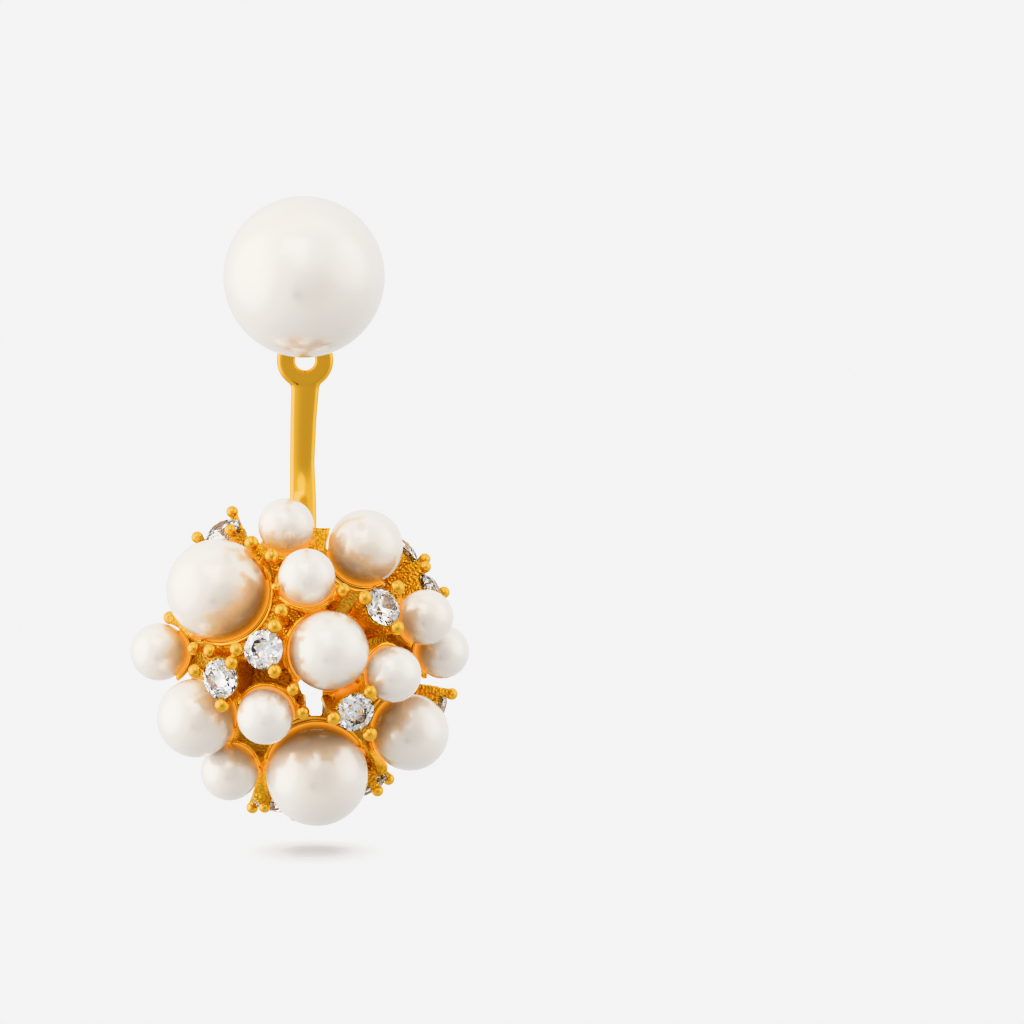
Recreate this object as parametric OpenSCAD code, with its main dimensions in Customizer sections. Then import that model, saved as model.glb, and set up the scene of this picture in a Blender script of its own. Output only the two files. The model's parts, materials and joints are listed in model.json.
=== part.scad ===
// Ear jacket: a pearl stud whose post carries a gold bar, with a hollow
// half-ball of pearls and clear stones at its foot.
// The origin is on the post, where the front of the ear lobe sits.
// The front of the earring faces -Y, the head is towards +Y, and +Z is up.

/* [Stud] */
// Radius of the large stud pearl
stud_pearl_r = 6; // [5:0.1:6.3]
// Radius of the ear post
post_r = 0.45; // [0.4:0.01:0.5]
// Length of the post behind the ear lobe's front face
post_length = 10.6; // [10:0.1:14]
// Space for the ear lobe between the stud and the jacket
lobe_gap = 5; // [4.8:0.1:5.4]

/* [Bar] */
// Radius of each eyelet in the ladder
eyelet_r = 2.11; // [2:0.01:2.2]
// Radius of the holes in the ladder
eyelet_hole_r = 0.76; // [0.74:0.01:0.8]
// Depth of the lowest hole below the post
lowest_hole_z = 6.12; // [6:0.01:6.4]
// Thickness of the ladder and the bar
bar_thick = 1; // [0.8:0.05:1.2]
// Width of the flat bar
bar_w = 2.05; // [1.8:0.05:2.4]
// Bevel along the edges of the bar and the eyelets
bevel = 0.3; // [0.2:0.01:0.35]
// Radius of the bend that brings the bar's foot forward
bar_bend_r = 8; // [7:0.5:9]
// Angle of the bend, in degrees
bar_bend_angle = 25; // [20:1:28]

/* [Ball] */
// Radius of the sphere that every pearl of the cluster touches from inside
ball_r = 12.63; // [12.6:0.01:12.8]
// Outer radius of the pierced gold shell behind the pearls
shell_r = 8.1; // [8:0.05:8.3]
// Wall of the gold shell
shell_wall = 0.65; // [0.6:0.05:0.9]
// How far the shell reaches behind the middle of the ball
shell_back = 3.5; // [3.4:0.1:4]
// Wall of a pearl cup
cup_wall = 0.4; // [0.38:0.01:0.42]
// Space between a pearl or a stone and the metal
seat_gap = 0.05; // [0.04:0.01:0.08]

/* [Stones] */
// Radius of a clear stone at its girdle
stone_r = 1.5; // [1.4:0.05:1.55]
// Radius of the ball tip of a prong
prong_tip_r = 0.55; // [0.5:0.01:0.58]
// Distance from the stone's axis to a prong tip
prong_reach = 1.92; // [1.9:0.01:2]
// Radius of a claw's rounded end on the stones that face outwards
claw_tip_r = 0.46; // [0.44:0.01:0.5]

/* [Hidden] */
$fn = 64;

// Stud and nut
stud_wall = 0.5;
stud_cup_r = 2.6;
stud_pearl_y = -(stud_wall + seat_gap + stud_pearl_r);
peg_r = 0.4;
peg_length = 2;
nut_start = lobe_gap + bar_thick + 0.25;
nut_plate_r = 2.6;
nut_plate_thick = 0.8;
nut_barrel_r = 1.4;
nut_length = 2.6;
nut_bore_r = post_r + 0.02;

// Ladder and bar
hang_drop = eyelet_hole_r - post_r - 0.03;
eyelet_pitch = (lowest_hole_z - hang_drop) / 2;
bar_top_z = -lowest_hole_z - eyelet_r * 0.6;
bend_top_z = -13.7;
bar_y = lobe_gap + bar_thick / 2;
bar_x = -0.13;
bend_end = [
    bar_x,
    bar_y - bar_bend_r * (1 - cos(bar_bend_angle)),
    bend_top_z - bar_bend_r * sin(bar_bend_angle)
];
foot_w = 4.3;
foot_h = 3;
foot_thick = 1.3;
foot_top_z = -18.85;
foot_start = (bend_end[2] - foot_top_z) / cos(bar_bend_angle);

// Flare of the opening in front of a pearl, in degrees
opening_flare = 5;

// Middle of the ball
ball_pos = [-0.38, lobe_gap - 0.5, -28.56];

// Each pearl: offset right, offset up, radius, and how far it sits inside the ball's sphere
PEARLS = [
    [-6.12, 5.37, 3.79, 0],
    [-1.00, 10.10, 2.08, 0],
    [4.88, 8.52, 2.81, 0],
    [0.57, 6.30, 2.15, 0],
    [2.22, 0.85, 2.99, 0],
    [9.35, 3.32, 2.09, 0],
    [10.60, 0.74, 2.00, 0],
    [6.96, -0.89, 2.12, 0],
    [8.21, -5.24, 2.88, 0],
    [1.29, -8.39, 3.82, 0],
    [-2.52, -4.01, 2.12, 0],
    [-7.65, -4.16, 2.95, 0],
    [-10.45, 0.73, 2.15, 0],
    [-5.21, -8.17, 2.15, 0.6]
];

// Each stone: offset right, forward and up from the middle of the ball, the turn of its prongs,
// and how far forward it leans from pointing straight out
STONES = [
    [-2.63, 10.80, 0.95, 151, 0],
    [-5.88, 9.40, -1.23, 131, 0],
    [6.22, 8.35, 4.11, 134, 0],
    [4.17, 9.70, -3.71, 158, 0],
    [-5.73, 0.20, 9.70, 76, 3.9],
    [7.65, -3.10, 8.34, 83, 1.6],
    [9.86, 0.27, 5.24, 80, 1.3],
    [10.20, -3.10, -3.44, 110, 1.0],
    [5.15, -2.00, -9.20, 30, 0.9],
    [-2.10, -2.14, -10.60, 6, 3]
];

// Each granule on its stalk: offset right, forward and up, and its radius
GRANULES = [
    [-3.56, 5.50, 8.84, 0.54],
    [-2.04, 7.40, 7.89, 0.54],
    [3.25, 9.05, 5.33, 0.54],
    [-1.31, 10.20, 3.83, 0.54],
    [-7.82, 7.65, 1.02, 0.48],
    [-6.59, 8.75, 0.82, 0.54],
    [-0.46, 10.80, -1.97, 0.52],
    [0.26, 10.30, -3.71, 0.52],
    [-1.75, 9.30, 5.58, 0.32],
    [-9.66, 0.50, 3.28, 0.48]
];
stalk_r = 0.32;
stem_r = 1;

// Webs of cast metal that close the narrow places between settings: the offset right, forward
// and up of both ends, and the radius
WEBS = [
    [[-3.40, 4.00, 8.20], [-1.60, 4.40, 7.90], 0.7],
    [[-9.40, 1.20, 2.90], [-7.40, 2.20, 1.90], 0.55],
    [[-2.50, 1.00, -7.40], [-2.90, 0, -9.90], 0.6],
    [[5.10, 0.80, -6.00], [5.95, -0.70, -7.90], 0.55]
];
web_end_part = 1.1;

// Corners of the gap that is pierced through the shell, offset right and up
GAP = [[-0.23, -1.13], [1.71, -2.00], [1.67, -3.97], [0.81, -3.97]];

// Cut of the stones, as parts of the girdle radius
table_part = 0.56;
crown_h = 0.32 * stone_r;
star_part = 0.80;
star_h = 0.19 * stone_r;
girdle_h = 0.05 * stone_r;
pavilion_h = 0.86 * stone_r;
pavilion_mid_part = 0.42;
pavilion_mid_h = 0.52 * stone_r;
collet_top = -0.35;
collet_r = 1.42;
claw_collet_r = 1.6;
collet_base_r = 1.0;
collet_wall = 0.35;
prong_r = 0.38;
prong_tip_h = 0.45;

// The stones nearer to the front than this have ball-tipped prongs, and the others have claws
front_stone_from = 5;

// Forward distance of a pearl that touches the ball's sphere from inside
function pearl_forward(p) =
    sqrt(max(0, pow(ball_r - p[2] - p[3], 2) - p[0] * p[0] - p[1] * p[1]));
function pearl_offset(p) = [p[0], -pearl_forward(p), p[1]];
function stone_offset(s) = [s[0], -s[1], s[2]];
function stone_aim(s) = [s[0], -s[1] - s[4], s[2]] / norm([s[0], s[1] + s[4], s[2]]);

// Distance from a stone's girdle down its axis to the sphere of this radius round the middle
function depth_to(s, r) =
    let (o = stone_offset(s), along = o * stone_aim(s))
    along - sqrt(along * along - o * o + r * r);

function has_claws(s) = s[1] < front_stone_from;

function ring(n, r, h, turn = 0) =
    [for (i = [0:n - 1]) [r * cos(360 * i / n + turn), r * sin(360 * i / n + turn), h]];

// Places children on the ball, at an offset from its middle, with +Z pointing along the aim
module on_ball(offset, aim) {
    translate(ball_pos + offset)
        rotate([0, acos(aim[2] / norm(aim)), atan2(aim[1], aim[0])])
            children();
}

// A rod between two points
module rod(from, to, r) {
    along = to - from;
    translate(from)
        rotate([0, acos(along[2] / norm(along)), atan2(along[1], along[0])])
            cylinder(r = r, h = norm(along));
}

// Turns a shape drawn upright so that it lies along the post
module along_post() {
    rotate([-90, 0, 0]) children();
}

// Stud pearl, half drilled for its peg
module stud_pearl() {
    color("floralwhite")
        difference() {
            translate([0, stud_pearl_y, 0]) sphere(r = stud_pearl_r);
            along_post()
                translate([0, 0, -stud_wall - peg_length - 0.2])
                    cylinder(r = peg_r + seat_gap, h = peg_length + stud_wall);
        }
}

// Cup, peg and post of the stud
module stud_post() {
    color("gold") {
        difference() {
            along_post()
                translate([0, 0, -stud_wall - 0.65]) cylinder(r = stud_cup_r, h = stud_wall + 0.65);
            translate([0, stud_pearl_y, 0]) sphere(r = stud_pearl_r + seat_gap);
        }
        along_post()
            translate([0, 0, -stud_wall - peg_length]) cylinder(r = peg_r, h = peg_length + 0.3);
        along_post() translate([0, 0, -0.2]) cylinder(r = post_r, h = post_length + 0.2);
    }
}

// Plain nut that closes the post behind the jacket
module ear_nut() {
    color("gold")
        along_post()
            difference() {
                union() {
                    translate([0, 0, nut_start]) cylinder(r = nut_plate_r, h = nut_plate_thick);
                    translate([0, 0, nut_start]) cylinder(r = nut_barrel_r, h = nut_length);
                }
                translate([0, 0, nut_start - 1]) cylinder(r = nut_bore_r, h = nut_length + 2);
            }
}

// Profile of half a round disc with bevelled edges
module eyelet_profile() {
    polygon([
        [0, 0], [eyelet_r - bevel, 0], [eyelet_r, bevel],
        [eyelet_r, bar_thick - bevel], [eyelet_r - bevel, bar_thick], [0, bar_thick]
    ]);
}

// Three eyelets in a row, the top one hanging on the post
module ladder() {
    for (i = [0:2])
        translate([0, lobe_gap, -hang_drop - i * eyelet_pitch])
            along_post() rotate_extrude() eyelet_profile();
}

module ladder_holes() {
    for (i = [0:2])
        translate([0, lobe_gap - 1, -hang_drop - i * eyelet_pitch])
            along_post() cylinder(r = eyelet_hole_r, h = bar_thick + 2);
}

// Section of the flat bar, width along X and thickness along Y
module bar_section() {
    w = bar_w / 2;
    t = bar_thick / 2;
    polygon([
        [-w, -t + bevel], [-w + bevel, -t], [w - bevel, -t], [w, -t + bevel],
        [w, t - bevel], [w - bevel, t], [-w + bevel, t], [-w, t - bevel]
    ]);
}

// Flat bar that hangs straight, then bends forward to its foot plate
module bar() {
    translate([bar_x, bar_y, bend_top_z])
        linear_extrude(bar_top_z - bend_top_z) bar_section();
    translate([bar_x, bar_y - bar_bend_r, bend_top_z])
        rotate([0, -90, 0])
            rotate([0, 0, 90])
                rotate_extrude(angle = bar_bend_angle, $fn = 200)
                    translate([bar_bend_r, 0]) rotate([0, 0, 90]) bar_section();
    translate(bend_end)
        rotate([-bar_bend_angle, 0, 0]) {
            translate([0, 0, -foot_start - 0.5]) linear_extrude(foot_start + 0.5) bar_section();
            translate([-foot_w / 2, -foot_thick / 2, -foot_start - foot_h])
                cube([foot_w, foot_thick, foot_h]);
        }
}

// Hollow shell, open at the back
module shell() {
    difference() {
        translate(ball_pos) along_post() sphere(r = shell_r);
        translate(ball_pos) along_post() sphere(r = shell_r - shell_wall);
        translate(ball_pos + [-20, shell_back, -20]) cube([40, 20, 40]);
    }
}

// Cup under a pearl, and a stem where the pearl stands clear of the shell. The cup is
// deeper on the pearls that face the front, and its rim always stands proud of the shell.
module cup(p) {
    offset = pearl_offset(p);
    out = norm(offset);
    facing = pearl_forward(p) / out;
    shell_line = (pow(shell_r, 2) - pow(out, 2) - pow(p[2], 2)) / (2 * out);
    rim = max(-(0.7 - 0.35 * facing) * p[2], shell_line + 0.3);
    outer = p[2] + seat_gap + cup_wall;
    on_ball(offset, offset) {
        intersection() {
            sphere(r = outer);
            translate([0, 0, rim - 10]) cylinder(r = outer + 1, h = 10);
        }
        if (out - outer > shell_r - shell_wall)
            translate([0, 0, shell_r - shell_wall / 2 - out])
                cylinder(r = stem_r, h = out - p[2] / 2 - shell_r + shell_wall / 2);
    }
}

// Clears the metal in front of a pearl, so that all of the pearl shows from the front. The
// opening flares, which leaves a bright sloped edge round the pearl.
module front_opening(p) {
    reach = 20;
    r = p[2] + seat_gap;
    translate(ball_pos + pearl_offset(p))
        rotate([90, 0, 0]) cylinder(r1 = r, r2 = r + reach * tan(opening_flare), h = reach);
}

// Collet and three prongs round a stone
module setting(s) {
    base = -depth_to(s, shell_r - shell_wall / 2);
    tip_r = has_claws(s) ? claw_tip_r : prong_tip_r;
    on_ball(stone_offset(s), stone_aim(s)) {
        translate([0, 0, base])
            cylinder(
                r1 = collet_base_r,
                r2 = has_claws(s) ? claw_collet_r : collet_r,
                h = collet_top - base
            );
        for (i = [0:2])
            rotate([0, 0, s[3] + 120 * i]) {
                rod([collet_base_r, 0, base], [prong_reach, 0, prong_tip_h], prong_r);
                translate([prong_reach, 0, prong_tip_h]) sphere(r = tip_r);
            }
    }
}

// Room for a stone and the bore under it
module stone_seat(s) {
    base = -depth_to(s, shell_r - shell_wall);
    r = stone_r + seat_gap;
    on_ball(stone_offset(s), stone_aim(s)) {
        rotate_extrude()
            polygon([
                [0, -pavilion_h - seat_gap], [r, -girdle_h - seat_gap], [r, seat_gap],
                [stone_r * table_part + seat_gap, crown_h + seat_gap], [0, crown_h + seat_gap]
            ]);
        translate([0, 0, base - 0.5]) cylinder(r = collet_base_r - collet_wall, h = -base);
    }
}

module web(w) {
    from = [w[0][0], -w[0][1], w[0][2]];
    to = [w[1][0], -w[1][1], w[1][2]];
    translate(ball_pos) {
        rod(from, to, w[2]);
        translate(from) sphere(r = w[2] * web_end_part);
        translate(to) sphere(r = w[2] * web_end_part);
    }
}

module granule(g) {
    offset = [g[0], -g[1], g[2]];
    root = offset * (shell_r - shell_wall / 2) / norm(offset);
    translate(ball_pos) rod(root, offset, min(stalk_r, g[3] * 0.8));
    translate(ball_pos + offset) sphere(r = g[3]);
}

// Ladder, bar, shell, cups, settings and granules, soldered into one
module jacket_frame() {
    color("goldenrod")
        difference() {
            union() {
                ladder();
                difference() {
                    union() {
                        bar();
                        shell();
                        for (p = PEARLS) cup(p);
                        for (w = WEBS) web(w);
                    }
                    for (p = PEARLS) front_opening(p);
                    translate(ball_pos) rotate([90, 0, 0]) linear_extrude(20) polygon(GAP);
                }
                for (s = STONES) setting(s);
                for (g = GRANULES) granule(g);
            }
            ladder_holes();
            for (p = PEARLS)
                translate(ball_pos + pearl_offset(p)) sphere(r = p[2] + seat_gap);
            for (s = STONES) stone_seat(s);
        }
}

module pearl(p) {
    color("floralwhite") translate(ball_pos + pearl_offset(p)) sphere(r = p[2]);
}

// Round brilliant: table and star facets above the girdle, mains and halves below
module stone(s) {
    r = stone_r;
    table = ring(8, r * table_part, crown_h);
    star = ring(8, r * star_part, star_h, 22.5);
    upper = ring(16, r, 0);
    lower = ring(16, r, -girdle_h);
    mid = ring(8, r * pavilion_mid_part, -pavilion_mid_h, 22.5);
    points = concat(table, star, upper, lower, mid, [[0, 0, -pavilion_h]]);
    culet = 56;
    faces = concat(
        [[for (i = [7:-1:0]) i]],
        [for (i = [0:7]) [i, (i + 1) % 8, 8 + i]],
        [for (i = [0:7]) [i, 8 + i, 16 + 2 * i]],
        [for (i = [0:7]) [(i + 1) % 8, 16 + (2 * i + 2) % 16, 8 + i]],
        [for (i = [0:7]) [8 + i, 16 + 2 * i + 1, 16 + 2 * i]],
        [for (i = [0:7]) [8 + i, 16 + (2 * i + 2) % 16, 16 + 2 * i + 1]],
        [for (i = [0:15]) [16 + i, 16 + (i + 1) % 16, 32 + i]],
        [for (i = [0:15]) [16 + (i + 1) % 16, 32 + (i + 1) % 16, 32 + i]],
        [for (i = [0:7]) [32 + 2 * i, 32 + 2 * i + 1, 48 + i]],
        [for (i = [0:7]) [32 + 2 * i + 1, 32 + (2 * i + 2) % 16, 48 + i]],
        [for (i = [0:7]) [48 + i, 32 + (2 * i + 2) % 16, 48 + (i + 1) % 8]],
        [for (i = [0:7]) [48 + i, 48 + (i + 1) % 8, culet]]
    );
    color("lightcyan")
        on_ball(stone_offset(s), stone_aim(s)) polyhedron(points = points, faces = faces);
}

stud_pearl();
stud_post();
ear_nut();
jacket_frame();
for (i = [1:14]) pearl(PEARLS[i - 1]);
for (i = [1:10]) stone(STONES[i - 1]);
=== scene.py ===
import json
import math

import bmesh
import bpy
import numpy as np
from mathutils import Matrix, Vector


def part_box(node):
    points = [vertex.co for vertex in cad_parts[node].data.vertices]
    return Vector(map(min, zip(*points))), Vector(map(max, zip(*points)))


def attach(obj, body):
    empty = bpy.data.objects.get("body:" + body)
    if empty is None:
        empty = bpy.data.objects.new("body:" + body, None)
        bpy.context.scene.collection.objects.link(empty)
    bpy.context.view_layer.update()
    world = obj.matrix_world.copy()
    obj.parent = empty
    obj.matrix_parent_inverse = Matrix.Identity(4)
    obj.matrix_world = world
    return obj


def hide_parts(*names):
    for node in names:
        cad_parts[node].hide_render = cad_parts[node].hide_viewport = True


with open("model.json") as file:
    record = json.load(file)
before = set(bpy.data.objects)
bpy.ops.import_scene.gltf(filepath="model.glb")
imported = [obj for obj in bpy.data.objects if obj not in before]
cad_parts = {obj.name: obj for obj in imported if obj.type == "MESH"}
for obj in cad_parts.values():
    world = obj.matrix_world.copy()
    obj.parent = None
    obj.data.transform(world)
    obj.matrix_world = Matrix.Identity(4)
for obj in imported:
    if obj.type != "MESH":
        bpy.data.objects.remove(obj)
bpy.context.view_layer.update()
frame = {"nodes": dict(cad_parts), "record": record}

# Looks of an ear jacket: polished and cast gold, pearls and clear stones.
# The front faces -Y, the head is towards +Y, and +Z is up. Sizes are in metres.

MM = 0.001

# Sizes shared with the construction, in millimetres where MM doesn't follow
BALL_CENTRE = Vector((-0.38, 4.5, -28.56)) * MM
PEARL_COUNT = 14
STONE_TURNS = (151, 131, 134, 158, 76, 83, 80, 110, 30, 6)
FRONT_STONES = 4
SHELL_R = 8.1
SHELL_WALL = 0.65
CUP_WALL = 0.4
OPENING_FLARE = math.radians(5)
SEAT_GAP = 0.05
PRONG_REACH = 1.92
PRONG_TIP_H = 0.45
PRONG_TIP_R = 0.55
CLAW_TIP_R = 0.44
CROWN_H = 0.48 * MM
COLLET_BASE_R = 1.0
PRONG_R = 0.38
CLAW_R = 0.36
STALK_R = 0.32
GRANULES = (
    (-3.56, 5.50, 8.84, 0.54),
    (-2.04, 7.40, 7.89, 0.54),
    (3.25, 9.05, 5.33, 0.54),
    (-1.31, 10.20, 3.83, 0.54),
    (-7.82, 7.65, 1.02, 0.48),
    (-6.59, 8.75, 0.82, 0.54),
    (-0.46, 10.80, -1.97, 0.52),
    (0.26, 10.30, -3.71, 0.52),
    (-1.75, 9.30, 5.58, 0.32),
    (-9.66, 0.50, 3.28, 0.48),
)
GAP = ((-0.23, -1.13), (1.71, -2.00), (1.67, -3.97), (0.81, -3.97))
LOBE_GAP = 5.0
BAR_THICK = 1.0
BAR_TOP_Z = -7.15
BAR_SINK = 0.01
BEND_TOP_Z = -13.7
BEND_R = 8.0
BEND_ANGLE = math.radians(25)
BAR_END = 2.1
EYELET_R = 2.11
EYELET_HOLE_R = 0.76
HANG_DROP = 0.28
EYELET_PITCH = 2.92
STUD_WALL = 0.5
STUD_CUP_R = 2.6
STUD_PEARL_R = 6.0
POST_R = 0.45
POST_LENGTH = 10.6
PEG_R = 0.4
PEG_LENGTH = 2.0
NUT_START = 6.25
NUT_PLATE_R = 2.6
NUT_PLATE_THICK = 0.8
NUT_BARREL_R = 1.4
NUT_LENGTH = 2.6

# Colours
GOLD = (1.0, 0.58, 0.14)
GOLD_DEEP = (0.86, 0.50, 0.10)
# Painted shade: the darkest colour of the cast gold, in the depths of its recesses
GOLD_SHADED = (0.56, 0.32, 0.08)
# Painted light: the colour of the glow on the cast gold near the pearls
SEAT_LIGHT = (1.0, 0.50, 0.12)
NACRE = (0.94, 0.895, 0.84)
NACRE_WARM = (0.94, 0.88, 0.80)
STONE_CLEAR = (1.0, 1.0, 1.0)
BACKGROUND = 1.17


class Wire:
    """An output socket. Arithmetic on it adds Math nodes to its tree."""

    def __init__(self, graph, socket):
        self.graph = graph
        self.socket = socket

    def math(self, operation, *values):
        return self.graph.math(operation, self, *values)

    def __add__(self, other):
        return self.math("ADD", other)

    def __sub__(self, other):
        return self.math("SUBTRACT", other)

    def __mul__(self, other):
        return self.math("MULTIPLY", other)

    def __rsub__(self, other):
        return self.graph.math("SUBTRACT", other, self)

    __radd__ = __add__
    __rmul__ = __mul__


class Graph:
    """A node tree that is built with one call for each node."""

    def __init__(self, tree):
        self.tree = tree
        tree.nodes.clear()

    def node(self, kind, settings=None, inputs=None):
        """Adds a node with its settings first, then the values and links of its sockets."""
        made = self.tree.nodes.new(kind)
        for name, value in (settings or {}).items():
            if name == "stops":
                self.set_stops(made.color_ramp, value)
            else:
                setattr(made, name, value)
        for key, value in (inputs or {}).items():
            if isinstance(value, Wire):
                self.tree.links.new(value.socket, made.inputs[key])
            else:
                made.inputs[key].default_value = value
        return made

    def out(self, kind, settings=None, inputs=None, output=0):
        """Adds a node and gives the wire of one of its outputs."""
        return Wire(self, self.node(kind, settings, inputs).outputs[output])

    def math(self, operation, *values):
        return self.out("ShaderNodeMath", {"operation": operation}, dict(enumerate(values)))

    @staticmethod
    def set_stops(ramp, stops):
        while len(ramp.elements) < len(stops):
            ramp.elements.new(0.5)
        for element, (place, colour) in zip(ramp.elements, stops):
            element.position = place
            element.color = (*colour, 1.0)


# Materials

def new_material(name):
    """A bare material and its graph."""
    material = bpy.data.materials.new(name)
    material.use_nodes = True
    return material, Graph(material.node_tree)


def finish_material(graph, settings):
    """Ends a graph in a Principled shader with these socket values and links."""
    shader = graph.out("ShaderNodeBsdfPrincipled", {}, settings)
    graph.node("ShaderNodeOutputMaterial", {}, {"Surface": shader})


def object_noise(graph, scale, detail=3.0, roughness=0.5):
    """Noise on the piece's own coordinates. The scale is in features per metre."""
    place = graph.out("ShaderNodeTexCoord", output="Object")
    return graph.out(
        "ShaderNodeTexNoise",
        {"noise_dimensions": "3D"},
        {"Vector": place, "Scale": scale, "Detail": detail, "Roughness": roughness},
    )


def gold_polished():
    """Bright gold plate, with faint wipe marks in its gloss."""
    material, graph = new_material("gold_polished")
    wipe = object_noise(graph, scale=900.0)
    grain = object_noise(graph, scale=9000.0)
    bump = graph.out("ShaderNodeBump", {}, {"Height": grain, "Strength": 0.05, "Distance": 0.00002})
    finish_material(graph, {
        "Base Color": (*GOLD, 1.0),
        "Metallic": 1.0,
        "Roughness": 0.08 + 0.10 * wipe,
        "Normal": bump,
    })
    return material


# Distances from the middle of the ball, in millimetres, between which the painted shade on the cast gold
# clears from dark to bright
DEEP_FROM = 7.9
DEEP_TO = 8.7
# A painted glow on the cast gold, standing for the light that the pearls pass down into their seats: its
# strength, and how far beyond a seat it reaches, in millimetres
SEAT_GLOW = 0.65
SEAT_FADE = 0.55


def gold_cast():
    """Gold in the recesses, with the grain of the casting left on it, and painted shade that darkens their
    depths.
    """
    material, graph = new_material("gold_cast")
    place = graph.out("ShaderNodeTexCoord", output="Object")
    grain = graph.out(
        "ShaderNodeTexVoronoi",
        {"voronoi_dimensions": "3D", "feature": "F1"},
        {"Vector": place, "Scale": 4600.0},
    )
    patch = object_noise(graph, scale=700.0, detail=4.0)
    raised = graph.out(
        "ShaderNodeValToRGB",
        {"stops": [(0.35, GOLD_DEEP), (0.70, GOLD)]},
        {"Fac": patch},
    )
    out = graph.out(
        "ShaderNodeVectorMath", {"operation": "DISTANCE"}, {0: place, 1: BALL_CENTRE}, output="Value"
    )
    # Painted shade: the cast gold darkens towards the middle of the ball, deepest in the recesses
    clear = graph.out(
        "ShaderNodeMapRange",
        {"interpolation_type": "SMOOTHSTEP"},
        {"Value": out, "From Min": DEEP_FROM * MM, "From Max": DEEP_TO * MM},
    )
    painted_shade_tone = graph.out(
        "ShaderNodeMix", {"data_type": "RGBA"}, {0: clear, 6: (*GOLD_SHADED, 1.0), 7: raised}, output=2
    )
    seat = graph.out("ShaderNodeAttribute", {"attribute_name": "seat"}, output="Fac")
    # Painted light: the cast gold glows warm near each pearl's seat
    glow = graph.out(
        "ShaderNodeMix", {"data_type": "RGBA"}, {0: seat, 6: (0, 0, 0, 1), 7: (*SEAT_LIGHT, 1.0)}, output=2
    )
    bump = graph.out("ShaderNodeBump", {}, {"Height": grain, "Strength": 0.8, "Distance": 0.00018})
    finish_material(graph, {
        "Base Color": painted_shade_tone,
        "Metallic": 1.0,
        "Roughness": 0.22 + 0.22 * patch,
        "Emission Color": glow,
        "Emission Strength": SEAT_GLOW,
        "Normal": bump,
    })
    return material


def pearl_nacre():
    """White pearl with a soft lustre that picks up the gold round it."""
    material, graph = new_material("pearl_nacre")
    cloud = object_noise(graph, scale=260.0)
    tint = graph.out(
        "ShaderNodeValToRGB",
        {"stops": [(0.3, NACRE_WARM), (0.7, NACRE)]},
        {"Fac": cloud},
    )
    finish_material(graph, {
        "Base Color": tint,
        "Metallic": 0.2,
        "Roughness": 0.28,
        "IOR": 1.6,
        "Coat Weight": 1.0,
        "Coat Roughness": 0.14,
        "Coat IOR": 1.9,
    })
    return material


def clear_stone():
    """Clear cut stone, with the faintest haze of polish on its facets."""
    material, graph = new_material("clear_stone")
    polish = object_noise(graph, scale=1500.0)
    finish_material(graph, {
        "Base Color": (*STONE_CLEAR, 1.0),
        "Roughness": 0.02 * polish,
        "IOR": 2.2,
        "Transmission Weight": 1.0,
    })
    return material


# Pieces

def link(piece):
    """Puts an object in the scene."""
    bpy.context.scene.collection.objects.link(piece)
    return piece


def keep(piece, body, slot, *nodes):
    """Puts a finished piece on the body it rides on and hides the nodes it stands for. The slot, its finish,
    is not used.
    """
    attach(piece, body)
    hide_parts(*nodes)


def mesh_piece(name, points, faces, material, smooth=True):
    mesh = bpy.data.meshes.new(name)
    mesh.from_pydata([tuple(p) for p in points], [], faces)
    mesh.materials.append(material)
    mesh.polygons.foreach_set("use_smooth", [smooth] * len(mesh.polygons))
    work = bmesh.new()
    work.from_mesh(mesh)
    bmesh.ops.recalc_face_normals(work, faces=work.faces)
    work.to_mesh(mesh)
    work.free()
    return link(bpy.data.objects.new(name, mesh))


def join_shapes(*shapes):
    """One list of points and faces from several."""
    points, faces = [], []
    for shape_points, shape_faces in shapes:
        start = len(points)
        points += shape_points
        faces += [tuple(start + i for i in face) for face in shape_faces]
    return points, faces


def swept(rings):
    """A tube through closed rings of points, capped at both ends."""
    count = len(rings[0])
    points = [p for ring in rings for p in ring]
    faces = []
    for k in range(len(rings) - 1):
        for i in range(count):
            j = (i + 1) % count
            faces.append((k * count + i, k * count + j, (k + 1) * count + j, (k + 1) * count + i))
    faces.append(tuple(range(count)))
    faces.append(tuple((len(rings) - 1) * count + i for i in range(count)))
    return points, faces


# A radius below this, in metres, is on the axis
ON_AXIS = 1e-7


def turned(profile, centre, steps=72):
    """A closed outline of (radius, depth) turned round an axis along Y through the centre.
    Points of the outline on the axis become one point."""
    points, faces, index = [], [], []
    for r, depth in profile:
        if r < ON_AXIS:
            index.append([len(points)] * steps)
            points.append(centre + Vector((0, depth, 0)))
        else:
            index.append(list(range(len(points), len(points) + steps)))
            for k in range(steps):
                a = 2 * math.pi * k / steps
                points.append(centre + Vector((r * math.cos(a), depth, r * math.sin(a))))
    for here, there in zip(index, index[1:] + index[:1]):
        for k in range(steps):
            j = (k + 1) % steps
            corners = []
            for corner in (here[k], here[j], there[j], there[k]):
                if corner not in corners:
                    corners.append(corner)
            if len(corners) > 2:
                faces.append(tuple(corners))
    return points, faces


def rounded_outline(corners, steps=6):
    """Rounds the corners of a closed outline. Each corner is (x, y, radius)."""
    outline = []
    count = len(corners)
    for i, (x, y, r) in enumerate(corners):
        here = Vector((x, y))
        if r <= 0:
            outline.append((x, y))
            continue
        before = (Vector(corners[i - 1][:2]) - here).normalized()
        after = (Vector(corners[(i + 1) % count][:2]) - here).normalized()
        half = before.angle(after) / 2
        reach = r / math.tan(half)
        centre = here + (before + after).normalized() * (r / math.sin(half))
        start, end = here + before * reach - centre, here + after * reach - centre
        for k in range(steps + 1):
            arm = start.slerp(end, k / steps, start)
            outline.append(tuple(centre + arm.normalized() * r))
    return outline


# Pearls, grown by one tree

PEARL_STEPS = 6
PEARL_DIMPLE = 0.02 * MM
DIMPLES_PER_METRE = 450.0


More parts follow.
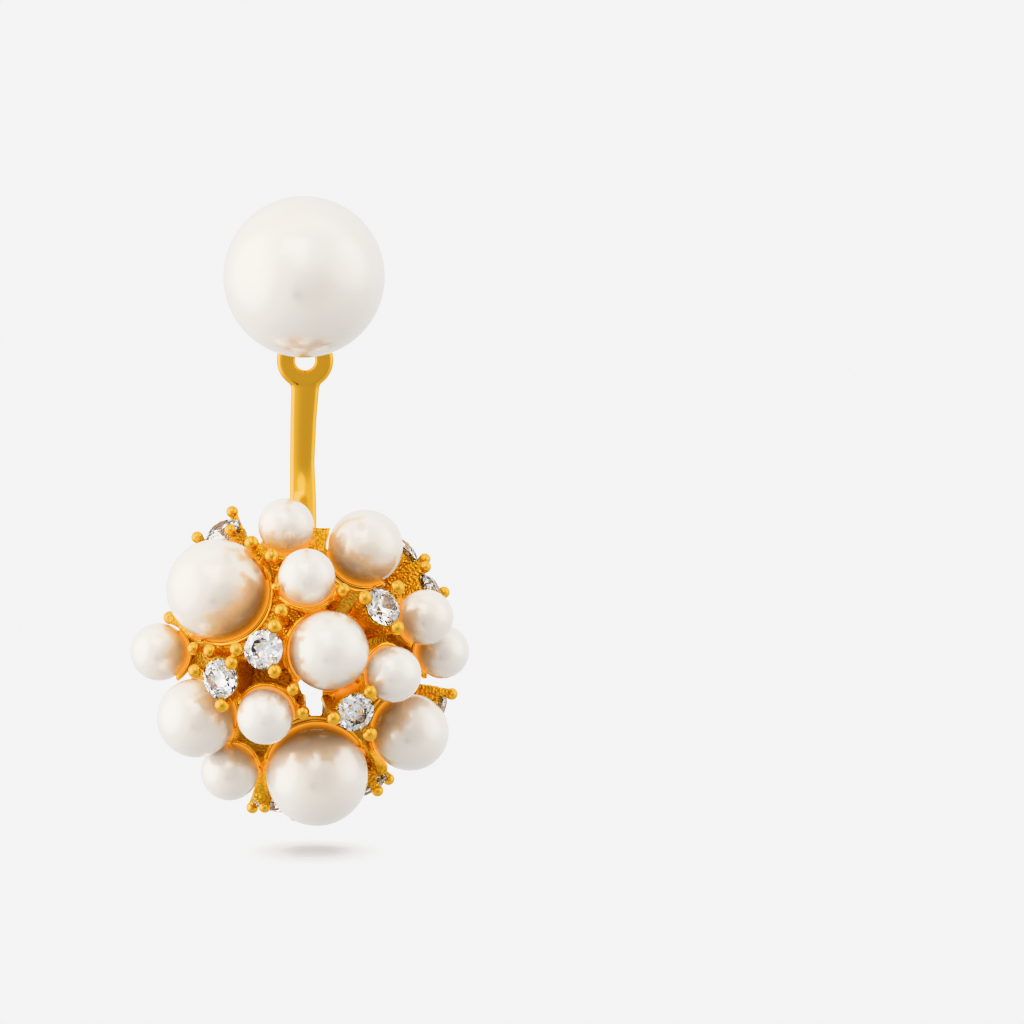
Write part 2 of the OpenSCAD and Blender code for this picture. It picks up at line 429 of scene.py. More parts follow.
def geometry_tree(name, inputs):
    """An empty Geometry Nodes tree, its graph and the wires of its named inputs."""
    tree = bpy.data.node_groups.new(name, "GeometryNodeTree")
    tree.interface.new_socket("Geometry", in_out="INPUT", socket_type="NodeSocketGeometry")
    for label, kind in inputs:
        tree.interface.new_socket(label, in_out="INPUT", socket_type=kind)
    tree.interface.new_socket("Geometry", in_out="OUTPUT", socket_type="NodeSocketGeometry")
    graph = Graph(tree)
    entry = graph.node("NodeGroupInput")
    wires = {socket.name: Wire(graph, socket) for socket in entry.outputs if socket.name}
    return tree, graph, wires


def end_tree(graph, geometry, material):
    """Ends a tree in smooth shading, real geometry and its material."""
    smooth = graph.out("GeometryNodeSetShadeSmooth", {}, {"Geometry": geometry})
    real = graph.out("GeometryNodeRealizeInstances", {}, {"Geometry": smooth})
    dressed = graph.out("GeometryNodeSetMaterial", {}, {"Geometry": real, "Material": material})
    graph.node("NodeGroupOutput", {}, {"Geometry": dressed})


def grow(name, tree, source, values):
    """Runs a tree on a source mesh and keeps the result as a plain mesh."""
    carrier = link(bpy.data.objects.new(name + "_source", source))
    modifier = carrier.modifiers.new("grow", "NODES")
    modifier.node_group = tree
    for item in tree.interface.items_tree:
        if item.in_out == "INPUT" and item.name in values:
            modifier[item.identifier] = values[item.name]
    return plain_copy(name, carrier)


def plain_copy(name, carrier):
    """A plain mesh of what the carrier's modifiers make. The carrier goes away."""
    depsgraph = bpy.context.evaluated_depsgraph_get()
    mesh = bpy.data.meshes.new_from_object(carrier.evaluated_get(depsgraph), depsgraph=depsgraph)
    bpy.data.objects.remove(carrier)
    return link(bpy.data.objects.new(name, mesh))


def pearl_tree():
    """A pearl: a round ball with the faint dimples of real nacre."""
    tree, graph, entry = geometry_tree("pearl", [
        ("Radius", "NodeSocketFloat"),
        ("Centre", "NodeSocketVector"),
        ("Dimple", "NodeSocketFloat"),
        ("Seed", "NodeSocketFloat"),
        ("Material", "NodeSocketMaterial"),
    ])
    ball = graph.out(
        "GeometryNodeMeshIcoSphere", {}, {"Radius": entry["Radius"], "Subdivisions": PEARL_STEPS}
    )
    noise = graph.out(
        "ShaderNodeTexNoise",
        {"noise_dimensions": "4D"},
        {"W": entry["Seed"], "Scale": DIMPLES_PER_METRE, "Detail": 1.0},
    )
    normal = graph.out("GeometryNodeInputNormal")
    depth = (noise - 1.0) * entry["Dimple"]
    offset = graph.out("ShaderNodeVectorMath", {"operation": "SCALE"}, {0: normal, "Scale": depth})
    dimpled = graph.out("GeometryNodeSetPosition", {}, {"Geometry": ball, "Offset": offset})
    placed = graph.out(
        "GeometryNodeTransform", {}, {"Geometry": dimpled, "Translation": entry["Centre"]}
    )
    end_tree(graph, placed, entry["Material"])
    return tree


def add_pearls(material):
    tree = pearl_tree()
    names = ["stud_pearl"] + [f"pearl_{i}" for i in range(1, PEARL_COUNT + 1)]
    for seed, node in enumerate(names):
        centre, r = pearl_place(node)
        empty = bpy.data.meshes.new(node)
        piece = grow("nacre_" + node, tree, empty, {
            "Radius": r,
            "Centre": centre,
            "Dimple": PEARL_DIMPLE,
            "Seed": float(seed),
            "Material": material,
        })
        keep(piece, "stud" if node == "stud_pearl" else "jacket", "pearl", node)


def pearl_place(node):
    """Middle and radius of a pearl's solid."""
    low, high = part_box(node)
    return (low + high) / 2, (high.z - low.z) / 2


CLUSTER = [pearl_place(f"pearl_{number}") for number in range(1, PEARL_COUNT + 1)]


# Wires with beads: prongs, stalks and cup rims

WIRE_SIDES = 14
RIM_SIDES = 10
BEAD_STEPS = 4
# Places along a prong from its root to its tip, and how much thinner it gets, in millimetres
PRONG_PARTS = (0.0, 0.35, 0.7, 0.9, 1.0)
PRONG_TAPER = 0.06
# The thickest stalk as a part of its granule's radius, and its upper part as a part of its root
STALK_PART = 0.8
STALK_TAPER = 0.9


def wire_tree():
    """Round wire along the edges of a mesh, with a bead on each point that has one."""
    tree, graph, entry = geometry_tree("beaded_wire", [
        ("Sides", "NodeSocketInt"),
        ("Bead Steps", "NodeSocketInt"),
        ("Material", "NodeSocketMaterial"),
    ])
    line = graph.out("GeometryNodeMeshToCurve", {}, {"Mesh": entry["Geometry"]})
    thick = graph.out("GeometryNodeInputNamedAttribute", {"data_type": "FLOAT"}, {"Name": "thickness"})
    section = graph.out(
        "GeometryNodeCurvePrimitiveCircle", {}, {"Resolution": entry["Sides"], "Radius": 1.0}
    )
    tube = graph.out(
        "GeometryNodeCurveToMesh",
        {},
        {"Curve": line, "Profile Curve": section, "Scale": thick, "Fill Caps": True},
    )
    bead_r = graph.out("GeometryNodeInputNamedAttribute", {"data_type": "FLOAT"}, {"Name": "bead"})
    points = graph.out(
        "GeometryNodeMeshToPoints",
        {},
        {"Mesh": entry["Geometry"], "Selection": bead_r.math("GREATER_THAN", 0.0)},
    )
    bead = graph.out(
        "GeometryNodeMeshIcoSphere", {}, {"Radius": 1.0, "Subdivisions": entry["Bead Steps"]}
    )
    beads = graph.out(
        "GeometryNodeInstanceOnPoints", {}, {"Points": points, "Instance": bead, "Scale": bead_r}
    )
    both = graph.node("GeometryNodeJoinGeometry")
    tree.links.new(beads.socket, both.inputs[0])
    tree.links.new(tube.socket, both.inputs[0])
    end_tree(graph, Wire(graph, both.outputs[0]), entry["Material"])
    return tree


def line_mesh(name, lines):
    """A mesh of open lines. Each line is a list of (point, wire radius, bead radius)."""
    points, edges, thickness, beads = [], [], [], []
    for line in lines:
        for k, (point, wire_r, bead_r) in enumerate(line):
            if k:
                edges.append((len(points) - 1, len(points)))
            points.append(tuple(point))
            thickness.append(wire_r)
            beads.append(bead_r)
    mesh = bpy.data.meshes.new(name)
    mesh.from_pydata(points, edges, [])
    for label, values in (("thickness", thickness), ("bead", beads)):
        mesh.attributes.new(label, "FLOAT", "POINT").data.foreach_set("value", values)
    return mesh


def outward_frame(axis):
    """Turns +Z to the axis, as the construction does."""
    lean = math.acos(max(-1.0, min(1.0, axis.z)))
    heading = math.atan2(axis.y, axis.x)
    return Matrix.Rotation(heading, 3, "Z") @ Matrix.Rotation(lean, 3, "Y")


def stone_place(node):
    """Middle of a stone's girdle, and its axis from culet to table, from its solid."""
    corners = np.array([v.co for v in frame["nodes"][node].data.vertices])
    corners = np.unique(corners.round(8), axis=0)
    middle = corners.mean(0)
    flat = np.linalg.eigh(np.cov((corners - middle).T))[1][:, 0]
    along = (corners - middle) @ flat
    if along.max() > -along.min():
        flat, along = -flat, -along
    return Vector(middle + flat * (along.max() - CROWN_H)), Vector(flat)


def shell_point(start, way):
    """Where a stone's axis, going in from its girdle, meets the middle of the shell's wall."""
    r = (SHELL_R - SHELL_WALL / 2) * MM
    o = start - BALL_CENTRE
    along = o.dot(way)
    depth = along - math.sqrt(max(0.0, along * along - o.dot(o) + r * r))
    return start - way * depth


def prong_lines():
    """Three prongs for each stone, from the shell to a ball tip over the girdle."""
    lines = []
    for number, turn in enumerate(STONE_TURNS, 1):
        girdle, axis = stone_place(f"stone_{number}")
        turn_out = outward_frame(axis)
        base = shell_point(girdle, axis)
        for k in range(3):
            a = math.radians(turn + 120 * k)
            side = turn_out @ Vector((math.cos(a), math.sin(a), 0))
            root = base + side * COLLET_BASE_R * MM
            tip = girdle + side * PRONG_REACH * MM + axis * PRONG_TIP_H * MM
            front = number <= FRONT_STONES
            wire_r, tip_r = (PRONG_R, PRONG_TIP_R) if front else (CLAW_R, CLAW_TIP_R)
            line = []
            for part in PRONG_PARTS:
                line.append((root.lerp(tip, part), (wire_r - PRONG_TAPER * part) * MM, 0.0))
            line[-1] = (tip, line[-1][1], tip_r * MM)
            lines.append(line)
    return lines


def granule_lines():
    """The granules, each on a stalk from the shell."""
    lines = []
    for right, forward, up, r in GRANULES:
        place = BALL_CENTRE + Vector((right, -forward, up)) * MM
        way = (place - BALL_CENTRE).normalized()
        root = BALL_CENTRE + way * (SHELL_R - SHELL_WALL / 2) * MM
        wire = min(STALK_R, r * STALK_PART) * MM
        thin = wire * STALK_TAPER
        lines.append([(root, wire, 0.0), (root.lerp(place, 0.5), thin, 0.0), (place, thin, r * MM)])
    return lines


RIM_WIRE_R = 0.12
# How far a wire sits outside the edge of an opening, as a part of its radius
RIM_WIRE_OUT = 0.4
RIM_STEPS = 120
# How far a rim lies below its pearl's middle, as a part of the pearl's radius: on a pearl that
# faces sideways, and how much less on one that faces the front. Then its least rise over the shell
RIM_DROP = 0.7
RIM_DROP_LESS = 0.35
RIM_RISE = 0.3


def cup_rim_height(centre, r):
    """Height of a cup's rim above its pearl's middle, along the way out, as the construction has it."""
    offset = (centre - BALL_CENTRE) / MM
    out = offset.length
    facing = -offset.y / out
    shell_line = (SHELL_R ** 2 - out ** 2 - r ** 2) / (2 * out)
    return max(-(RIM_DROP - RIM_DROP_LESS * facing) * r, shell_line + RIM_RISE)


def opening_r(r, ahead):
    """Radius of the opening in front of a pearl of radius r, at a distance ahead of its middle."""
    return r + SEAT_GAP + ahead * math.tan(OPENING_FLARE)


def inside_gap(place):
    """Whether a place is in front of or behind the gap that is pierced through the shell."""
    x, z = (place.x - BALL_CENTRE.x) / MM, (place.z - BALL_CENTRE.z) / MM
    sides = [
        (bx - ax) * (z - az) - (bz - az) * (x - ax)
        for (ax, az), (bx, bz) in zip(GAP, GAP[1:] + GAP[:1])
    ]
    return max(sides) < 0


def metal_missing(place, own):
    """Whether another pearl's seat or opening, or the pierced gap, takes the metal away at a place."""
    for other, (centre, radius) in enumerate(CLUSTER):
        if other == own:
            continue
        offset = (place - centre) / MM
        r = radius / MM
        if offset.length < r + SEAT_GAP:
            return True
        if offset.y < 0 and math.hypot(offset.x, offset.z) < opening_r(r, -offset.y):
            return True
    return inside_gap(place)


def shell_edge(offset, r, side):
    """How far ahead of a pearl's middle its opening breaks through the shell's surface, to one side."""
    flare = math.tan(OPENING_FLARE)
    start = offset + side * opening_r(r, 0)
    way = side * flare + Vector((0, -1, 0))
    a, b, c = way.dot(way), start.dot(way), start.dot(start) - SHELL_R ** 2
    root = b * b - a * c
    return (-b + math.sqrt(root)) / a if root > 0 else -1.0


def rim_lines():
    """Wires along the rims of the pearl cups, and along the edges of their openings."""
    lines = []
    for number, (centre, radius) in enumerate(CLUSTER):
        r = radius / MM
        offset = (centre - BALL_CENTRE) / MM
        way = offset.normalized()
        turn_out = outward_frame(way)
        rim = cup_rim_height(centre, r)
        outer = r + SEAT_GAP + CUP_WALL
        ring_r = math.sqrt(max(0.01, (outer - CUP_WALL / 2) ** 2 - rim ** 2))
        lip = math.sqrt(outer ** 2 - (r + SEAT_GAP + CUP_WALL / 3) ** 2)
        rims, lips, edges = [], [], []
        for k in range(RIM_STEPS + 1):
            a = 2 * math.pi * k / RIM_STEPS
            side = Vector((math.cos(a), 0, math.sin(a)))
            spot = turn_out @ Vector((ring_r * math.cos(a), ring_r * math.sin(a), rim))
            cut = spot.y < 0 and math.hypot(spot.x, spot.z) < opening_r(r, -spot.y)
            rims.append(None if cut else spot)
            spot = side * (opening_r(r, lip) + RIM_WIRE_R * RIM_WIRE_OUT) - Vector((0, lip, 0))
            lips.append(spot if spot.dot(way) < rim else None)
            ahead = shell_edge(offset, r, side)
            spot = side * (opening_r(r, ahead) + RIM_WIRE_R * RIM_WIRE_OUT) - Vector((0, ahead, 0))
            edges.append(spot if ahead > 0 else None)
        for spots in (rims, lips, edges):
            places = [None if spot is None else centre + spot * MM for spot in spots]
            lines += split_lines([None if p is None or metal_missing(p, number) else p for p in places])
    return lines


def split_lines(points):
    """Runs of points between the gaps of a closed loop."""
    if None in points:
        start = points.index(None)
        loop = points[:-1]
        points = loop[start:] + loop[:start + 1]
    runs, run = [], []
    for point in points:
        if point is None:
            if len(run) > 2:
                runs.append(run)
            run = []
        else:
            run.append((point, RIM_WIRE_R * MM, 0.0))
    if len(run) > 2:
        runs.append(run)
    return runs


def add_wires(material):
    tree = wire_tree()
    for name, lines, sides in (
        ("prongs", prong_lines(), WIRE_SIDES),
        ("granules", granule_lines(), WIRE_SIDES),
        ("cup_rims", rim_lines(), RIM_SIDES),
    ):
        piece = grow(name, tree, line_mesh(name, lines), {
            "Sides": sides,
            "Bead Steps": BEAD_STEPS,
            "Material": material,
        })
        keep(piece, "jacket", "gold", "jacket_frame")


# Cast half-ball

BASKET_VOXEL = 0.12 * MM
BASKET_TOP_Z = -18.6 * MM
BASKET_TRIANGLES = 190000
MERGE_WITHIN = 1e-7
CAST_DEPTH = 0.05 * MM
GRAINS_PER_METRE = 2600.0


def skin_tree():
    """Roughens a skin inward with the grain of the casting."""
    tree, graph, entry = geometry_tree("cast_skin", [
        ("Depth", "NodeSocketFloat"),
        ("Grains", "NodeSocketFloat"),
        ("Material", "NodeSocketMaterial"),
    ])
    noise = graph.out(
        "ShaderNodeTexNoise", {"noise_dimensions": "3D"}, {"Scale": entry["Grains"], "Detail": 2.0}
    )
    normal = graph.out("GeometryNodeInputNormal")
    depth = (noise - 1.0) * entry["Depth"]
    offset = graph.out("ShaderNodeVectorMath", {"operation": "SCALE"}, {0: normal, "Scale": depth})
    rough = graph.out("GeometryNodeSetPosition", {}, {"Geometry": entry["Geometry"], "Offset": offset})
    end_tree(graph, rough, entry["Material"])
    return tree


def mark_seats(mesh):
    """Writes on each point how near it is to a pearl: 1 in a pearl's seat, 0 away from all of them."""
    points = np.empty(len(mesh.vertices) * 3)
    mesh.vertices.foreach_get("co", points)
    points = points.reshape(-1, 3)
    away = np.full(len(points), 1.0)
    for centre, radius in CLUSTER:
        away = np.minimum(away, np.linalg.norm(points - np.array(centre), axis=1) - radius)
    seat = np.clip(1 - (away / MM - SEAT_GAP) / SEAT_FADE, 0, 1)
    mesh.attributes.new("seat", "FLOAT", "POINT").data.foreach_set("value", seat)


def add_basket(material):
    """The shell, cups, collets and foot plate, remeshed from the solid so that the casting's grain shows."""
    work = bmesh.new()
    work.from_mesh(frame["nodes"]["jacket_frame"].data)
    bmesh.ops.remove_doubles(work, verts=work.verts, dist=MERGE_WITHIN)
    cut = bmesh.ops.bisect_plane(
        work,
        geom=work.verts[:] + work.edges[:] + work.faces[:],
        plane_co=(0, 0, BASKET_TOP_Z),
        plane_no=(0, 0, 1),
        clear_outer=True,
    )
    edges = [e for e in cut["geom_cut"] if isinstance(e, bmesh.types.BMEdge)]
    bmesh.ops.holes_fill(work, edges=edges, sides=0)
    mesh = bpy.data.meshes.new("basket")
    work.to_mesh(mesh)
    work.free()
    carrier = link(bpy.data.objects.new("basket_source", mesh))
    remesh = carrier.modifiers.new("voxels", "REMESH")
    remesh.mode = "VOXEL"
    remesh.voxel_size = BASKET_VOXEL
    remesh.use_smooth_shade = True
    remeshed = plain_copy("basket_skin", carrier)
    source = remeshed.data
    bpy.data.objects.remove(remeshed)
    rough = grow("basket_rough", skin_tree(), source, {
        "Depth": CAST_DEPTH,
        "Grains": GRAINS_PER_METRE,
        "Material": material,
    })
    fewer = rough.modifiers.new("fewer", "DECIMATE")
    fewer.ratio = BASKET_TRIANGLES / sum(len(p.vertices) - 2 for p in rough.data.polygons)
    piece = plain_copy("basket", rough)
    mark_seats(piece.data)
    keep(piece, "jacket", "gold", "jacket_frame")


# Bar and ladder

# The bar from its neck to its foot: height, middle and half width
BAR_SHAPE = (
    (-7.15, 0.0, 1.60),
    (-7.55, 0.0, 1.42),
    (-7.85, 0.0, 1.16),
    (-8.15, 0.01, 1.04),
    (-10.57, -0.12, 0.965),
    (-13.70, -0.21, 0.91),
    (-16.40, -0.15, 0.97),
    (-19.00, -0.13, 0.99),
)
BAR_EDGE_R = 0.30
BAR_CROWN = 0.34
BAR_VOXEL = 0.07 * MM
BAR_SMOOTHING = 10
BAR_STEPS = 40
BEND_STEPS = 16
# A side of the section longer than this, in millimetres, is split
LONG_SIDE = 0.3
EYELET_COUNT = 3
EYELET_EDGE_R = 0.35
EYELET_HOLE_EDGE_R = 0.15


def bar_ring(place, lean):
    """The bar's crowned section at a place on its path, leaning forward by an angle."""
    depths = [-z for z, middle, half in BAR_SHAPE]
    middle = float(np.interp(-place.z, depths, [m for z, m, half in BAR_SHAPE]))
    w = float(np.interp(-place.z, depths, [half for z, m, half in BAR_SHAPE]))
    t, r = BAR_THICK / 2 - BAR_SINK, BAR_EDGE_R
    outline = rounded_outline([(-w, -t, r), (w, -t, r), (w, t, r), (-w, t, r)])
    points = []
    for x, y in crossed(outline):
        crowned = y * (1 - BAR_CROWN * (x / w) ** 2)
        points.append((place + Matrix.Rotation(-lean, 3, "X") @ Vector((x + middle, crowned, 0))) * MM)
    return points


def crossed(outline, steps=8):
    """Splits the long sides of an outline, so that they can be crowned."""
    points = []
    for (x, y), (next_x, next_y) in zip(outline, outline[1:] + outline[:1]):
        pieces = steps if abs(next_x - x) > LONG_SIDE else 1
        for k in range(pieces):
            part = k / pieces
            points.append((x + (next_x - x) * part, y + (next_y - y) * part))
    return points


def bar_path():
    """Places and leans down the bar: straight, bent forward, and straight to the foot."""
    bar_y = LOBE_GAP + BAR_THICK / 2
    path = [(Vector((0, bar_y, z)), 0.0) for z in np.linspace(BAR_TOP_Z, BEND_TOP_Z, BAR_STEPS)]
    for part in np.linspace(0, 1, BEND_STEPS + 1)[1:]:
        a = BEND_ANGLE * part
        path.append((
            Vector((0, bar_y - BEND_R * (1 - math.cos(a)), BEND_TOP_Z - BEND_R * math.sin(a))), a
        ))
    end, lean = path[-1]
    way = Vector((0, -math.sin(lean), -math.cos(lean)))
    path += [(end + way * d, lean) for d in (BAR_END / 2, BAR_END)]
    return path


def add_bar(material):
    """The bar and its three rings, melted into one with soft fillets where they meet."""
    shapes = [swept([bar_ring(place, lean) for place, lean in bar_path()])]
    outline = rounded_outline([
        (EYELET_HOLE_R, 0, EYELET_HOLE_EDGE_R),
        (EYELET_R, 0, EYELET_EDGE_R),
        (EYELET_R, BAR_THICK, EYELET_EDGE_R),
        (EYELET_HOLE_R, BAR_THICK, EYELET_HOLE_EDGE_R),
    ])
    for k in range(EYELET_COUNT):
        centre = Vector((0, LOBE_GAP, -HANG_DROP - k * EYELET_PITCH)) * MM
        shapes.append(turned([(r * MM, y * MM) for r, y in outline], centre))
    points, faces = join_shapes(*shapes)
    carrier = mesh_piece("bar_source", points, faces, material)
    remesh = carrier.modifiers.new("voxels", "REMESH")
    remesh.mode = "VOXEL"
    remesh.voxel_size = BAR_VOXEL
    remesh.use_smooth_shade = True
    smooth = carrier.modifiers.new("fillets", "SMOOTH")
    smooth.factor = 0.5
    smooth.iterations = BAR_SMOOTHING
    piece = plain_copy("bar_and_ladder", carrier)
    keep(piece, "jacket", "gold", "jacket_frame")


# Post and nut. The small steps in their outlines are bevels, a bead and a groove, in millimetres

CUP_SEAT_STEPS = 8


def cup_outline():
    """Half outline of the stud's cup, peg and post, as (radius, depth along the post)."""
    seat_r = STUD_PEARL_R + SEAT_GAP
    pearl_y = -(STUD_WALL + SEAT_GAP + STUD_PEARL_R)
    peg_end = -STUD_WALL - PEG_LENGTH
    post_end = POST_LENGTH

    def seat(r):
        return r, pearl_y + math.sqrt(seat_r ** 2 - r ** 2)

    return [
        (0, peg_end),
        (PEG_R - 0.1, peg_end),
        (PEG_R, peg_end + 0.1),
        seat(PEG_R),
        *(seat(r) for r in np.linspace(0.8, STUD_CUP_R - 0.12, CUP_SEAT_STEPS)),
        (STUD_CUP_R - 0.04, -STUD_WALL - 0.60),
        (STUD_CUP_R, -STUD_WALL - 0.52),
        (STUD_CUP_R, -0.22),
        (STUD_CUP_R - 0.07, -0.07),
        (STUD_CUP_R - 0.22, 0),
        (POST_R + 0.25, 0),
        (POST_R + 0.07, 0.06),
        (POST_R, 0.2),
        (POST_R, post_end - 1.6),
        (POST_R - 0.07, post_end - 1.5),
        (POST_R - 0.07, post_end - 1.2),
        (POST_R, post_end - 1.1),
        (POST_R, post_end - 0.35),
        (POST_R * 0.8, post_end - 0.12),
        (POST_R * 0.45, post_end - 0.02),
        (0, post_end),
    ]


def nut_outline():
    """Closed outline of the nut's wall."""
    bore = POST_R + 0.03
    start, end = NUT_START, NUT_START + NUT_LENGTH
    plate = start + NUT_PLATE_THICK
    return rounded_outline([
        (bore, start, 0.08),
        (NUT_PLATE_R, start, 0.25),
        (NUT_PLATE_R, plate, 0.25),
        (NUT_BARREL_R, plate, 0.15),
        (NUT_BARREL_R, end, 0.25),
        (bore, end, 0.08),
    ])


def add_post_and_nut(material):
    """The post with its cup, and the nut, turned about the post's axis."""
    for name, outline, node in (
        ("post_and_cup", cup_outline(), "stud_post"),
        ("nut", nut_outline(), "ear_nut"),
    ):
        points, faces = turned([(r * MM, y * MM) for r, y in outline], Vector((0, 0, 0)))
        piece = mesh_piece(name, points, faces, material)
        body = next(b for b, nodes in frame["record"]["behaviour"]["bodies"].items() if node in nodes)
        keep(piece, body, "gold", node)


def dress_stones(material):
    """Gives the stones' own solids their material."""
    for name, node in frame["nodes"].items():
        if name.startswith("stone_"):
            node.data.materials.clear()
            node.data.materials.append(material)


# Camera, from the photograph's frame

PIXEL = 0.07426 * MM
PICTURE_WIDTH = 1024
CAMERA_X = 15.4 * MM
CAMERA_Z = -17.42 * MM
CAMERA_LENS = 1200.0
CAMERA_SENSOR = 36.0


def add_camera():
    """A very long lens, level and square to the front, as in the photograph."""
    data = bpy.data.cameras.new("camera")
    data.sensor_width = CAMERA_SENSOR
    data.lens = CAMERA_LENS
    width = PIXEL * PICTURE_WIDTH
    distance = width * CAMERA_LENS / CAMERA_SENSOR
    data.clip_start = 0.01
    data.clip_end = 100.0
    camera = bpy.data.objects.new("camera", data)
    camera.location = (CAMERA_X, -distance, CAMERA_Z)
    camera.rotation_euler = (math.radians(90), 0, 0)
    link(camera)
    bpy.context.scene.camera = camera


# Light

OBJECT_MIDDLE = Vector((0, 2, -20)) * MM


def add_softbox(name, direction, distance, width, height, radiance):
    """A soft panel that faces the earring."""
    data = bpy.data.lights.new(name, "AREA")
    data.shape = "RECTANGLE"
    data.size = width
    data.size_y = height
    data.energy = radiance * width * height * math.pi
    light = bpy.data.objects.new(name, data)
    way = Vector(direction).normalized()
    light.location = OBJECT_MIDDLE + way * distance
    light.rotation_euler = way.to_track_quat("Z", "Y").to_euler()
    link(light)


# The tent from straight down to straight up
TENT_STOPS = [(0.0, (0.70, 0.70, 0.70)), (0.5, (0.86, 0.86, 0.86)), (1.0, (0.95, 0.95, 0.95))]
# Places in the tent: the way to each, the angles of its core and its soft edge, and how much
# light is left or added in it
OPENING = ((0.18, -0.95, -0.18), 10, 42, 0.70)
LENS = ((-0.15, -0.84, -0.42), 4, 9, 0.25)
KEY = ((-1.0, -0.12, 0.10), 18, 48, 1.6)
FILL = ((0.92, -0.25, 0.30), 10, 36, 0.45)
GLINT = ((-0.08, -0.90, 0.42), 5, 15, 0.7)
# The tent's bright ring, round the earring from side to side over its top
RING_WIDTH = (0.08, 0.42)
RING_AHEAD = 0.08
RING_RISE = 0.3
RING_GAIN = 0.35


def patch_mask(graph, way, centre, core, edge):
    """1 towards a place in the tent, falling off to 0 at its soft edge. Angles are in degrees."""
    closeness = graph.out(
        "ShaderNodeVectorMath",
        {"operation": "DOT_PRODUCT"},
        {0: way, 1: Vector(centre).normalized()},
        output="Value",
    )
    return graph.out(
        "ShaderNodeMapRange",
        {"interpolation_type": "SMOOTHSTEP"},
        {
            "Value": closeness,
            "From Min": math.cos(math.radians(edge)),
            "From Max": math.cos(math.radians(core)),
        },
    )


def add_world():
    """A pale tent round the earring, brighter at its sides and darker where the camera looks in."""
    world = bpy.data.worlds.new("studio")
    world.use_nodes = True
    graph = Graph(world.node_tree)
    way = graph.out("ShaderNodeTexCoord", output="Generated")
    parts = graph.node("ShaderNodeSeparateXYZ", {}, {"Vector": way})
    depth, height = Wire(graph, parts.outputs["Y"]), Wire(graph, parts.outputs["Z"])
    tent = graph.out("ShaderNodeValToRGB", {"stops": TENT_STOPS}, {"Fac": height * 0.5 + 0.5})
    level = 1.0
    for centre, core, edge, left in (OPENING, LENS):
        level = level * (1 - patch_mask(graph, way, centre, core, edge) * (1 - left))
    for centre, core, edge, gain in (KEY, FILL, GLINT):
        level = level + patch_mask(graph, way, centre, core, edge) * gain
    narrow, wide = RING_WIDTH
    ring = graph.out(
        "ShaderNodeMapRange",
        {"interpolation_type": "SMOOTHSTEP"},
        {"Value": (depth + RING_AHEAD).math("ABSOLUTE"), "From Min": wide, "From Max": narrow},
    )
    above = graph.out(
        "ShaderNodeMapRange",
        {"interpolation_type": "SMOOTHSTEP"},
        {"Value": height, "From Min": -RING_RISE, "From Max": RING_RISE},
    )
    level = level + ring * above * RING_GAIN
    tent = graph.out("ShaderNodeVectorMath", {"operation": "SCALE"}, {0: tent, "Scale": level})
    camera_ray = graph.out("ShaderNodeLightPath", output="Is Camera Ray")
    seen = graph.out("ShaderNodeBackground", {}, {"Color": (1, 1, 1, 1), "Strength": BACKGROUND})
    lit = graph.out("ShaderNodeBackground", {}, {"Color": tent, "Strength": 1.0})
    shown = graph.out("ShaderNodeMixShader", {}, {0: camera_ray, 1: lit, 2: seen})
    graph.node("ShaderNodeOutputWorld", {}, {"Surface": shown})
    bpy.context.scene.world = world


def add_lights():
    """One panel in front and above, for the soft light on the upper sides."""
    way = (-0.25, -0.80, 0.85)
    add_softbox("front_top", way, distance=0.5, width=0.30, height=0.20, radiance=1.2)


# The pale floor under the earring, which is seen only near this place
FLOOR_PLACE = Vector((0.70, 2.5, -42.70)) * MM
FLOOR_HALF = 0.03
FLOOR_RISE = math.radians(10)
FLOOR_CLEAR_FROM, FLOOR_CLEAR_TO = 0.0008, 0.0060
FLOOR_WHITE = 0.80


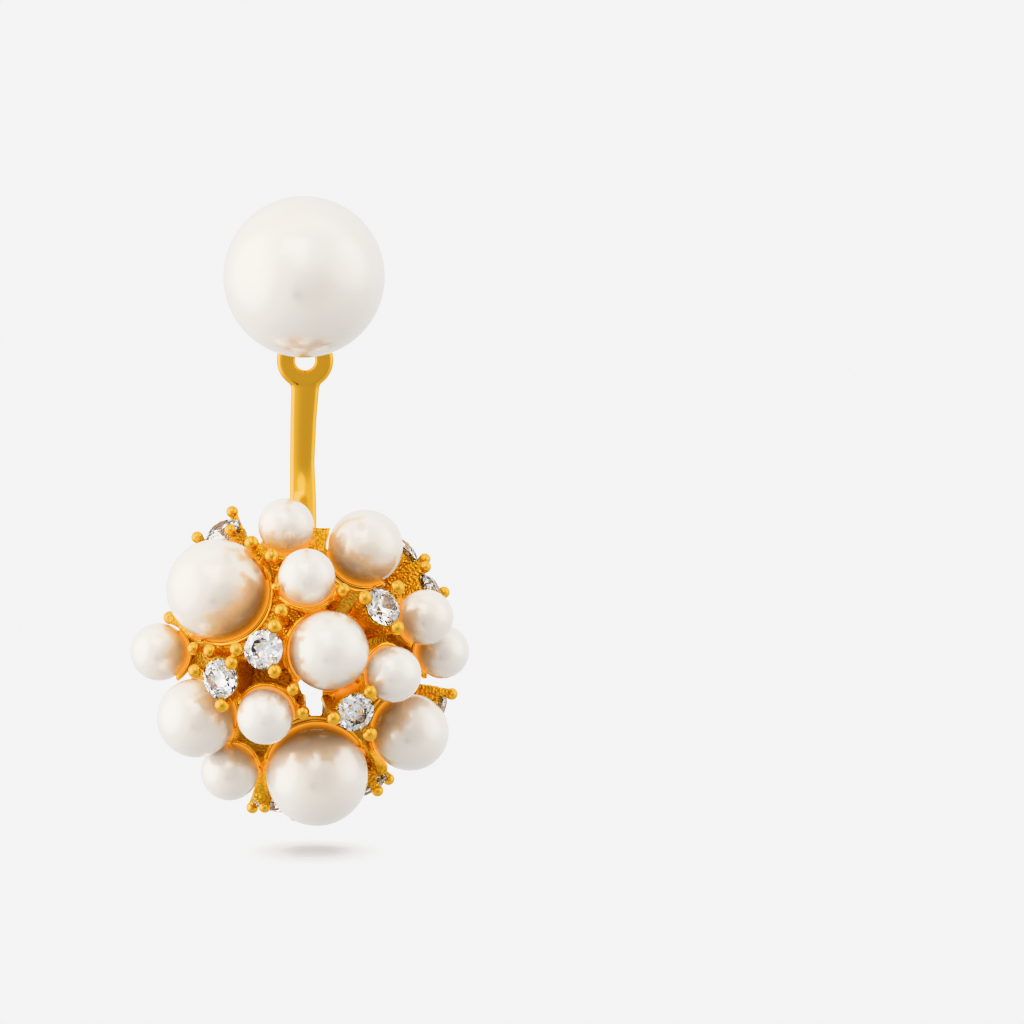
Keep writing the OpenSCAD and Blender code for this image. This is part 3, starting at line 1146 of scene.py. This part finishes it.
def floor_material():
    """Plain pale floor that melts into the background away from the earring."""
    material, graph = new_material("floor")
    pale = graph.out("ShaderNodeBsdfDiffuse", {}, {"Color": (FLOOR_WHITE, FLOOR_WHITE, FLOOR_WHITE, 1)})
    place = graph.out("ShaderNodeTexCoord", output="Object")
    away = graph.out(
        "ShaderNodeVectorMath", {"operation": "DISTANCE"}, {0: place, 1: FLOOR_PLACE}, output="Value"
    )
    melt = graph.out(
        "ShaderNodeMapRange",
        {"interpolation_type": "SMOOTHSTEP"},
        {"Value": away, "From Min": FLOOR_CLEAR_FROM, "From Max": FLOOR_CLEAR_TO},
    )
    nothing = graph.out("ShaderNodeBsdfTransparent")
    shown = graph.out("ShaderNodeMixShader", {}, {0: melt, 1: pale, 2: nothing})
    graph.node("ShaderNodeOutputMaterial", {}, {"Surface": shown})
    return material


def add_floor():
    """A pale sheet that rises a little towards the back. Only the camera sees it."""
    mesh = bpy.data.meshes.new("floor")
    back = Vector((0, math.cos(FLOOR_RISE), math.sin(FLOOR_RISE))) * FLOOR_HALF
    side = Vector((FLOOR_HALF, 0, 0))
    corners = [FLOOR_PLACE + s * side + b * back for s, b in ((-1, -1), (1, -1), (1, 1), (-1, 1))]
    mesh.from_pydata(corners, [], [(0, 1, 2, 3)])
    floor = bpy.data.objects.new("floor", mesh)
    floor.data.materials.append(floor_material())
    floor.visible_diffuse = False
    floor.visible_glossy = False
    floor.visible_transmission = False
    link(floor)


# Contrast of the picture: what each amount of light is shown as
TONE_POINTS = ((0.0, 0.0), (0.05, 0.028), (0.2, 0.155), (0.45, 0.43), (0.8, 0.81), (1.0, 1.0))


def set_colours():
    """Colour management that keeps the gold's hue and rolls its highlights off to cream."""
    view = bpy.context.scene.view_settings
    view.view_transform = "Khronos PBR Neutral"
    view.look = "None"
    view.exposure = 0.0
    view.gamma = 1.0
    view.use_curve_mapping = True
    mapping = view.curve_mapping
    mapping.extend = "EXTRAPOLATED"
    points = mapping.curves[3].points
    while len(points) < len(TONE_POINTS):
        points.new(0.5, 0.5)
    for point, place in zip(points, TONE_POINTS):
        point.location = place
    mapping.update()


add_camera()
add_world()
add_lights()
add_floor()
set_colours()

polished, cast = gold_polished(), gold_cast()
add_pearls(pearl_nacre())
add_wires(polished)
add_basket(cast)
add_bar(polished)
add_post_and_nut(polished)
dress_stones(clear_stone())
